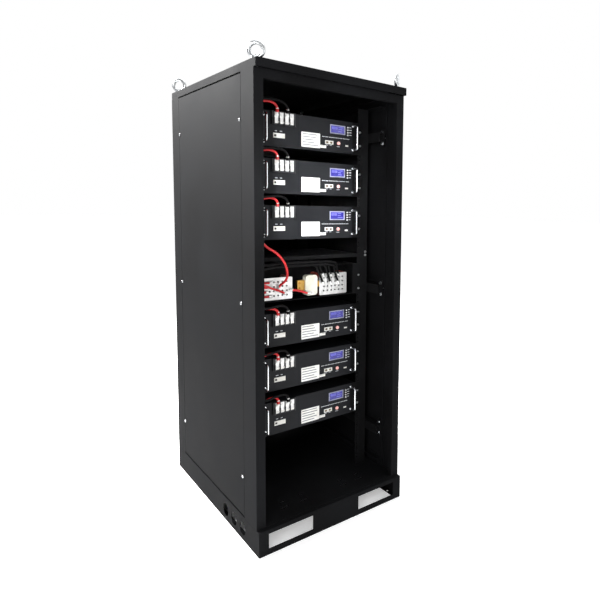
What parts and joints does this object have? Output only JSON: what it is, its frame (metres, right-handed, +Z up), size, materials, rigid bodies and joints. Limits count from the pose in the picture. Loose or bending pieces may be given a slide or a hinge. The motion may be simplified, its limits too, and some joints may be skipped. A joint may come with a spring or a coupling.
{
  "type": "server rack battery",
  "caption": "Open-front 19-inch rack cabinet on a fork-lift plinth, holding stacked battery modules wired to busbars in a distribution bay.",
  "frame": {"origin": "middle of the footprint, on the floor", "axes": "+X to the right seen from the open front, +Y to the back, +Z up"},
  "size_m": [0.6398, 0.9032, 1.8025],
  "materials": {
    "black_powder_coat": "fine textured matt black powder coat",
    "rail_powder_coat": "smooth satin black powder coat",
    "zinc_plate": "bright zinc plate",
    "tinned_copper": "tinned copper, satin",
    "insulator_moulding": "red moulded polyester",
    "fuse_ceramic": "glazed cream ceramic",
    "brass": "bright brass",
    "red_silicone": "satin red silicone sleeve",
    "black_silicone": "satin black silicone sleeve",
    "module_steel": "satin black paint",
    "face_lacquer": "satin charcoal lacquer",
    "chrome": "polished chrome",
    "black_nylon": "moulded black nylon",
    "white_nylon": "moulded white nylon",
    "display_frame": "blue backlit display in a bright frame",
    "cell_sleeve": "blue shrink sleeve",
    "circuit_board": "green solder mask",
    "button_steel": "bright steel button",
    "key_white": "moulded white key"
  },
  "bodies": {
    "cabinet": {"plinth": "black_powder_coat", "floor_plate": "black_powder_coat", "cabinet_frame": "black_powder_coat", "roof_cover": "black_powder_coat", "side_panels": "black_powder_coat", "rear_panel": "black_powder_coat", "lifting_eyes": "zinc_plate", "panel_screws": "zinc_plate", "rack_rails": "rail_powder_coat", "depth_bars": "rail_powder_coat", "support_angles": "rail_powder_coat", "shelf_plate": "rail_powder_coat", "distribution_tray": "rail_powder_coat", "busbars": "tinned_copper", "busbar_insulators": "insulator_moulding", "main_fuse": "fuse_ceramic", "fuse_terminals": "brass", "positive_leads": "red_silicone", "negative_leads": "black_silicone", "lead_lugs": "tinned_copper", "rack_screws": "zinc_plate", "module_cases": "module_steel", "module_faceplates": "face_lacquer", "module_handles": "chrome", "terminal_blocks": "black_nylon", "terminal_bars": "tinned_copper", "display_units": "display_frame", "port_blocks": "white_nylon", "cell_packs": "cell_sleeve", "control_boards": "circuit_board"},
    "power_button_1": {"power_button_1": "button_steel"},
    "menu_key_1_1": {"menu_key_1_1": "key_white"},
    "menu_key_1_2": {"menu_key_1_2": "key_white"},
    "menu_key_1_3": {"menu_key_1_3": "key_white"},
    "menu_key_1_4": {"menu_key_1_4": "key_white"},
    "power_button_2": {"power_button_2": "button_steel"},
    "menu_key_2_1": {"menu_key_2_1": "key_white"},
    "menu_key_2_2": {"menu_key_2_2": "key_white"},
    "menu_key_2_3": {"menu_key_2_3": "key_white"},
    "menu_key_2_4": {"menu_key_2_4": "key_white"},
    "power_button_3": {"power_button_3": "button_steel"},
    "menu_key_3_1": {"menu_key_3_1": "key_white"},
    "menu_key_3_2": {"menu_key_3_2": "key_white"},
    "menu_key_3_3": {"menu_key_3_3": "key_white"},
    "menu_key_3_4": {"menu_key_3_4": "key_white"},
    "power_button_4": {"power_button_4": "button_steel"},
    "menu_key_4_1": {"menu_key_4_1": "key_white"},
    "menu_key_4_2": {"menu_key_4_2": "key_white"},
    "menu_key_4_3": {"menu_key_4_3": "key_white"},
    "menu_key_4_4": {"menu_key_4_4": "key_white"},
    "power_button_5": {"power_button_5": "button_steel"},
    "menu_key_5_1": {"menu_key_5_1": "key_white"},
    "menu_key_5_2": {"menu_key_5_2": "key_white"},
    "menu_key_5_3": {"menu_key_5_3": "key_white"},
    "menu_key_5_4": {"menu_key_5_4": "key_white"},
    "power_button_6": {"power_button_6": "button_steel"},
    "menu_key_6_1": {"menu_key_6_1": "key_white"},
    "menu_key_6_2": {"menu_key_6_2": "key_white"},
    "menu_key_6_3": {"menu_key_6_3": "key_white"},
    "menu_key_6_4": {"menu_key_6_4": "key_white"}
  },
  "joints": [
    {"name": "power_press_1", "type": "slide", "parent": "cabinet", "child": "power_button_1", "axis": [0, 1, 0], "range_m": [0, 0.0025], "stiffness_N_per_m": 800, "springref_m": -0.001},
    {"name": "menu_press_1_1", "type": "slide", "parent": "cabinet", "child": "menu_key_1_1", "axis": [0, 1, 0], "range_m": [0, 0.0008], "stiffness_N_per_m": 1200, "springref_m": -0.0005},
    {"name": "menu_press_1_2", "type": "slide", "parent": "cabinet", "child": "menu_key_1_2", "axis": [0, 1, 0], "range_m": [0, 0.0008], "stiffness_N_per_m": 1200, "springref_m": -0.0005},
    {"name": "menu_press_1_3", "type": "slide", "parent": "cabinet", "child": "menu_key_1_3", "axis": [0, 1, 0], "range_m": [0, 0.0008], "stiffness_N_per_m": 1200, "springref_m": -0.0005},
    {"name": "menu_press_1_4", "type": "slide", "parent": "cabinet", "child": "menu_key_1_4", "axis": [0, 1, 0], "range_m": [0, 0.0008], "stiffness_N_per_m": 1200, "springref_m": -0.0005},
    {"name": "power_press_2", "type": "slide", "parent": "cabinet", "child": "power_button_2", "axis": [0, 1, 0], "range_m": [0, 0.0025], "stiffness_N_per_m": 800, "springref_m": -0.001},
    {"name": "menu_press_2_1", "type": "slide", "parent": "cabinet", "child": "menu_key_2_1", "axis": [0, 1, 0], "range_m": [0, 0.0008], "stiffness_N_per_m": 1200, "springref_m": -0.0005},
    {"name": "menu_press_2_2", "type": "slide", "parent": "cabinet", "child": "menu_key_2_2", "axis": [0, 1, 0], "range_m": [0, 0.0008], "stiffness_N_per_m": 1200, "springref_m": -0.0005},
    {"name": "menu_press_2_3", "type": "slide", "parent": "cabinet", "child": "menu_key_2_3", "axis": [0, 1, 0], "range_m": [0, 0.0008], "stiffness_N_per_m": 1200, "springref_m": -0.0005},
    {"name": "menu_press_2_4", "type": "slide", "parent": "cabinet", "child": "menu_key_2_4", "axis": [0, 1, 0], "range_m": [0, 0.0008], "stiffness_N_per_m": 1200, "springref_m": -0.0005},
    {"name": "power_press_3", "type": "slide", "parent": "cabinet", "child": "power_button_3", "axis": [0, 1, 0], "range_m": [0, 0.0025], "stiffness_N_per_m": 800, "springref_m": -0.001},
    {"name": "menu_press_3_1", "type": "slide", "parent": "cabinet", "child": "menu_key_3_1", "axis": [0, 1, 0], "range_m": [0, 0.0008], "stiffness_N_per_m": 1200, "springref_m": -0.0005},
    {"name": "menu_press_3_2", "type": "slide", "parent": "cabinet", "child": "menu_key_3_2", "axis": [0, 1, 0], "range_m": [0, 0.0008], "stiffness_N_per_m": 1200, "springref_m": -0.0005},
    {"name": "menu_press_3_3", "type": "slide", "parent": "cabinet", "child": "menu_key_3_3", "axis": [0, 1, 0], "range_m": [0, 0.0008], "stiffness_N_per_m": 1200, "springref_m": -0.0005},
    {"name": "menu_press_3_4", "type": "slide", "parent": "cabinet", "child": "menu_key_3_4", "axis": [0, 1, 0], "range_m": [0, 0.0008], "stiffness_N_per_m": 1200, "springref_m": -0.0005},
    {"name": "power_press_4", "type": "slide", "parent": "cabinet", "child": "power_button_4", "axis": [0, 1, 0], "range_m": [0, 0.0025], "stiffness_N_per_m": 800, "springref_m": -0.001},
    {"name": "menu_press_4_1", "type": "slide", "parent": "cabinet", "child": "menu_key_4_1", "axis": [0, 1, 0], "range_m": [0, 0.0008], "stiffness_N_per_m": 1200, "springref_m": -0.0005},
    {"name": "menu_press_4_2", "type": "slide", "parent": "cabinet", "child": "menu_key_4_2", "axis": [0, 1, 0], "range_m": [0, 0.0008], "stiffness_N_per_m": 1200, "springref_m": -0.0005},
    {"name": "menu_press_4_3", "type": "slide", "parent": "cabinet", "child": "menu_key_4_3", "axis": [0, 1, 0], "range_m": [0, 0.0008], "stiffness_N_per_m": 1200, "springref_m": -0.0005},
    {"name": "menu_press_4_4", "type": "slide", "parent": "cabinet", "child": "menu_key_4_4", "axis": [0, 1, 0], "range_m": [0, 0.0008], "stiffness_N_per_m": 1200, "springref_m": -0.0005},
    {"name": "power_press_5", "type": "slide", "parent": "cabinet", "child": "power_button_5", "axis": [0, 1, 0], "range_m": [0, 0.0025], "stiffness_N_per_m": 800, "springref_m": -0.001},
    {"name": "menu_press_5_1", "type": "slide", "parent": "cabinet", "child": "menu_key_5_1", "axis": [0, 1, 0], "range_m": [0, 0.0008], "stiffness_N_per_m": 1200, "springref_m": -0.0005},
    {"name": "menu_press_5_2", "type": "slide", "parent": "cabinet", "child": "menu_key_5_2", "axis": [0, 1, 0], "range_m": [0, 0.0008], "stiffness_N_per_m": 1200, "springref_m": -0.0005},
    {"name": "menu_press_5_3", "type": "slide", "parent": "cabinet", "child": "menu_key_5_3", "axis": [0, 1, 0], "range_m": [0, 0.0008], "stiffness_N_per_m": 1200, "springref_m": -0.0005},
    {"name": "menu_press_5_4", "type": "slide", "parent": "cabinet", "child": "menu_key_5_4", "axis": [0, 1, 0], "range_m": [0, 0.0008], "stiffness_N_per_m": 1200, "springref_m": -0.0005},
    {"name": "power_press_6", "type": "slide", "parent": "cabinet", "child": "power_button_6", "axis": [0, 1, 0], "range_m": [0, 0.0025], "stiffness_N_per_m": 800, "springref_m": -0.001},
    {"name": "menu_press_6_1", "type": "slide", "parent": "cabinet", "child": "menu_key_6_1", "axis": [0, 1, 0], "range_m": [0, 0.0008], "stiffness_N_per_m": 1200, "springref_m": -0.0005},
    {"name": "menu_press_6_2", "type": "slide", "parent": "cabinet", "child": "menu_key_6_2", "axis": [0, 1, 0], "range_m": [0, 0.0008], "stiffness_N_per_m": 1200, "springref_m": -0.0005},
    {"name": "menu_press_6_3", "type": "slide", "parent": "cabinet", "child": "menu_key_6_3", "axis": [0, 1, 0], "range_m": [0, 0.0008], "stiffness_N_per_m": 1200, "springref_m": -0.0005},
    {"name": "menu_press_6_4", "type": "slide", "parent": "cabinet", "child": "menu_key_6_4", "axis": [0, 1, 0], "range_m": [0, 0.0008], "stiffness_N_per_m": 1200, "springref_m": -0.0005}
  ]
}
